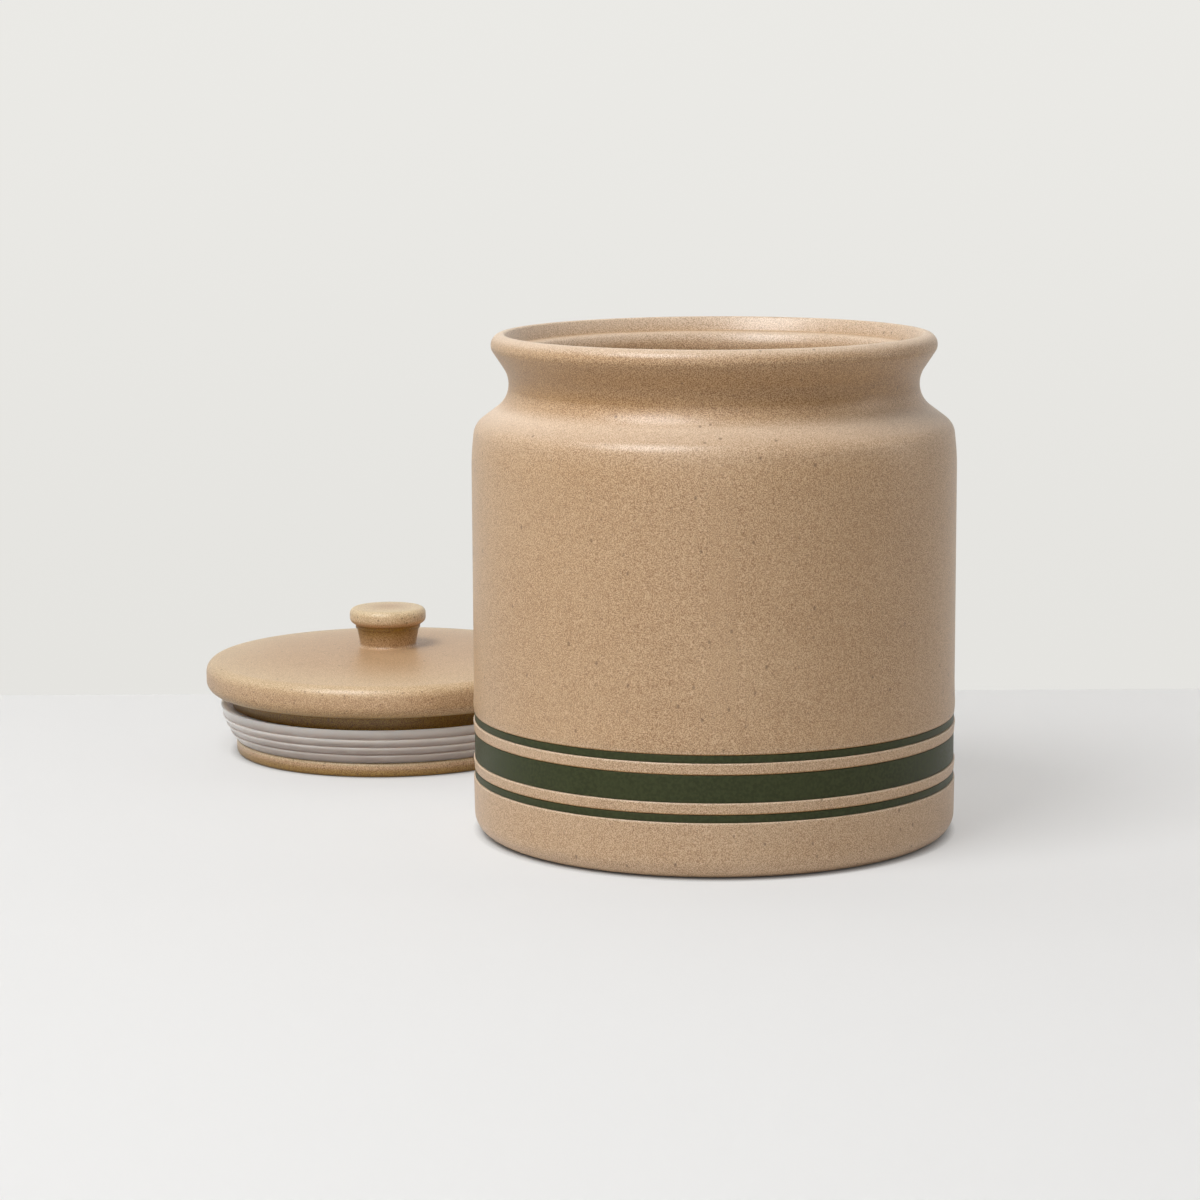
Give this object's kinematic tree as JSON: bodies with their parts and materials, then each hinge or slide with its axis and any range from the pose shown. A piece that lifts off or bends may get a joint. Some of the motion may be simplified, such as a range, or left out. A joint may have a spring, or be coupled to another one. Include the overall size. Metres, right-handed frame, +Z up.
{
  "type": "stoneware canister",
  "caption": "Round stoneware storage jar with a flared galleried rim and inlaid glaze bands, its lift-off domed lid with knob and ribbed silicone gasket standing beside it.",
  "frame": {"origin": "on the crock's axis at table level, under the middle of its recessed underside", "axes": "+Z up along the crock's axis; -Y towards the viewer; the lid stands behind and to the left, at -X +Y"},
  "size_m": [0.2849, 0.3061, 0.1782],
  "materials": {
    "stoneware": "satin speckled glaze",
    "band_glaze": "satin dark green glaze",
    "silicone": "milky translucent silicone"
  },
  "bodies": {
    "crock": {"crock_body": "stoneware", "glaze_band_lower": "band_glaze", "glaze_band_middle": "band_glaze", "glaze_band_upper": "band_glaze"},
    "lid": {"lid_disc": "stoneware", "lid_knob": "stoneware", "lid_gasket": "silicone"}
  },
  "joints": [
    {"name": "lid_lift", "type": "slide", "parent": "crock", "child": "lid", "axis": [0, 0, 1], "range_m": [0, 0.2]}
  ]
}
